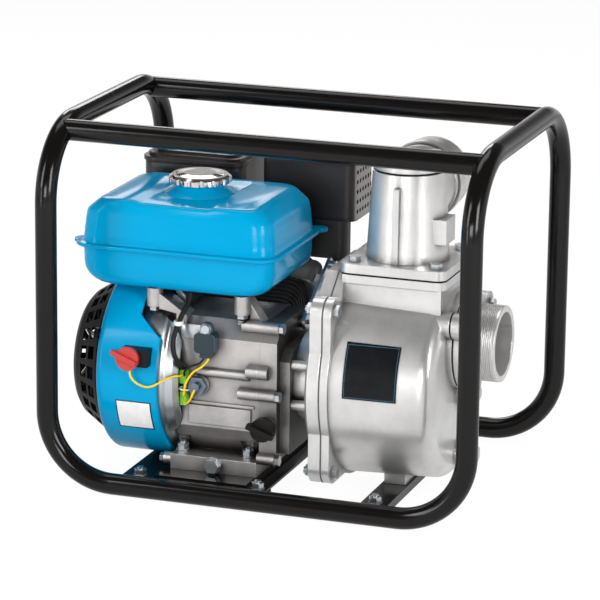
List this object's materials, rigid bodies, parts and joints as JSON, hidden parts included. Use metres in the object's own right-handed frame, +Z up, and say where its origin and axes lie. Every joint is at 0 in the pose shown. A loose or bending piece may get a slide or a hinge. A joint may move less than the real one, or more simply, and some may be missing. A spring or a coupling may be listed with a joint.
{
  "type": "engine water pump",
  "caption": "Petrol engine driving a self-priming centrifugal water pump, both bolted into a black tubular carry frame with threaded suction and outlet ports.",
  "frame": {"origin": "on the floor, under the middle of the tube frame", "axes": "+X along the crankshaft from the starter to the suction port, +Y to the rear, +Z up"},
  "size_m": [0.531, 0.397, 0.434],
  "materials": {
    "frame_paint": "gloss black paint",
    "zinc": "bright zinc",
    "engine_casting": "as cast, matt",
    "cylinder_black": "black heat paint on fins",
    "pump_casting": "silver paint on casting, satin",
    "blue_paint": "gloss blue paint",
    "black_plastic": "black moulded plastic",
    "red_plastic": "red moulded plastic",
    "grey_plastic": "grey moulded case",
    "chrome_cap": "chromed pressing",
    "bare_steel": "bare machined steel",
    "wheel_iron": "cast, matt",
    "muffler_steel": "heat-dulled steel",
    "guard_paint": "black heat paint",
    "gasket_rubber": "black rubber",
    "rope": "braided cord",
    "wire_yellow": "yellow wire sheath",
    "wire_green": "green connector sleeves"
  },
  "bodies": {
    "chassis": {"frame_front": "frame_paint", "frame_rear": "frame_paint", "top_rail_front": "frame_paint", "top_rail_rear": "frame_paint", "engine_tray": "frame_paint", "pump_channel": "frame_paint", "base_bolts": "zinc", "crankcase": "engine_casting", "side_cover": "engine_casting", "engine_bolts": "zinc", "drain_bolt": "zinc", "level_switch": "bare_steel", "oil_alert_unit": "grey_plastic", "engine_cylinder": "cylinder_black", "cylinder_head": "engine_casting", "rocker_cover": "cylinder_black", "spark_plug": "black_plastic", "side_plate": "zinc", "fan_cover": "blue_paint", "recoil_housing": "black_plastic", "starter_rope": "rope", "switch_body": "black_plastic", "tank_lower": "blue_paint", "tank_upper": "blue_paint", "carburettor": "engine_casting", "air_cleaner_case": "black_plastic", "air_cleaner_cover": "black_plastic", "muffler": "muffler_steel", "muffler_guard": "guard_paint", "wire_sleeve": "black_plastic", "wire_yellow": "wire_yellow", "wire_connectors": "wire_green", "pump_adapter": "pump_casting", "pump_gasket": "gasket_rubber", "pump_casing": "pump_casting", "pump_bolts": "zinc", "volute": "wheel_iron", "shaft_seal": "gasket_rubber", "suction_gasket": "gasket_rubber", "suction_flange": "pump_casting", "elbow_gasket": "gasket_rubber", "discharge_elbow": "pump_casting", "pump_drain_plug": "pump_casting"},
    "rotor": {"crankshaft": "bare_steel", "flywheel": "wheel_iron", "starter_cup": "bare_steel", "impeller": "wheel_iron"},
    "starter_reel": {"starter_reel": "black_plastic"},
    "starter_handle": {"starter_handle": "black_plastic"},
    "switch_knob": {"switch_knob": "red_plastic"},
    "fuel_cap_gasket": {"fuel_cap_gasket": "gasket_rubber"},
    "fuel_cap": {"fuel_cap": "chrome_cap"},
    "oil_cap_seal": {"oil_cap_seal": "gasket_rubber"},
    "oil_cap": {"oil_cap": "black_plastic"},
    "prime_cap_seal": {"prime_cap_seal": "gasket_rubber"},
    "prime_cap": {"prime_cap": "pump_casting"},
    "choke_lever": {"choke_lever": "black_plastic"},
    "fuel_lever": {"fuel_lever": "red_plastic"},
    "throttle_lever": {"throttle_lever": "bare_steel"},
    "suction_flap": {"suction_flap": "gasket_rubber"}
  },
  "joints": [
    {"name": "crank_turn", "type": "hinge", "parent": "chassis", "child": "rotor", "pos_m": [0, -0.034, 0.124], "axis": [1, 0, 0], "continuous": true},
    {"name": "starter_pull", "type": "slide", "parent": "chassis", "child": "starter_handle", "axis": [0, 1, 0], "range_m": [0, 0.5], "stiffness_N_per_m": 20, "springref_m": -0.1, "deforming": ["starter_rope"]},
    {"name": "starter_reel_turn", "type": "hinge", "parent": "chassis", "child": "starter_reel", "pos_m": [-0.228, -0.034, 0.124], "axis": [1, 0, 0], "range_deg": [-655, 0]},
    {"name": "switch_turn", "type": "hinge", "parent": "chassis", "child": "switch_knob", "pos_m": [-0.165, -0.154, 0.156], "axis": [0, -1, 0], "range_deg": [-60, 0]},
    {"name": "fuel_cap_lift", "type": "slide", "parent": "chassis", "child": "fuel_cap_gasket", "axis": [0, 0, 1], "range_m": [0, 0.08]},
    {"name": "fuel_cap_turn", "type": "hinge", "parent": "fuel_cap_gasket", "child": "fuel_cap", "pos_m": [-0.125, -0.027, 0.345], "axis": [0, 0, 1], "range_deg": [0, 90]},
    {"name": "oil_cap_travel", "type": "slide", "parent": "chassis", "child": "oil_cap_seal", "axis": [0, -1, 0], "range_m": [0, 0.0076]},
    {"name": "oil_cap_turn", "type": "hinge", "parent": "oil_cap_seal", "child": "oil_cap", "pos_m": [-0.0085, -0.125, 0.08], "axis": [0, -1, 0], "range_deg": [0, 1080]},
    {"name": "prime_cap_travel", "type": "slide", "parent": "chassis", "child": "prime_cap_seal", "axis": [0, 0, 1], "range_m": [0, 0.0121]},
    {"name": "prime_cap_turn", "type": "hinge", "parent": "prime_cap_seal", "child": "prime_cap", "pos_m": [0.133, -0.034, 0.382], "axis": [0, 0, 1], "range_deg": [0, 1440]},
    {"name": "choke_swing", "type": "hinge", "parent": "chassis", "child": "choke_lever", "pos_m": [-0.164, 0.10973, 0.19536], "axis": [0, 1, 0], "range_deg": [0, 60]},
    {"name": "fuel_tap_swing", "type": "hinge", "parent": "chassis", "child": "fuel_lever", "pos_m": [-0.142, 0.10973, 0.17636], "axis": [0, 1, 0], "range_deg": [0, 90]},
    {"name": "throttle_swing", "type": "hinge", "parent": "chassis", "child": "throttle_lever", "pos_m": [0.0073, -0.026, 0.184], "axis": [1, 0, 0], "range_deg": [0, 18]},
    {"name": "suction_flap_swing", "type": "hinge", "parent": "chassis", "child": "suction_flap", "pos_m": [0.2, -0.034, 0.227], "axis": [0, 1, 0], "range_deg": [0, 60]}
  ],
  "couplings": [
    {"joint": "starter_reel_turn", "follows": "starter_pull", "rad_per_m": -22.727},
    {"joint": "oil_cap_travel", "follows": "oil_cap_turn", "m_per_rad": 0.00039789},
    {"joint": "prime_cap_travel", "follows": "prime_cap_turn", "m_per_rad": 0.00047746}
  ]
}
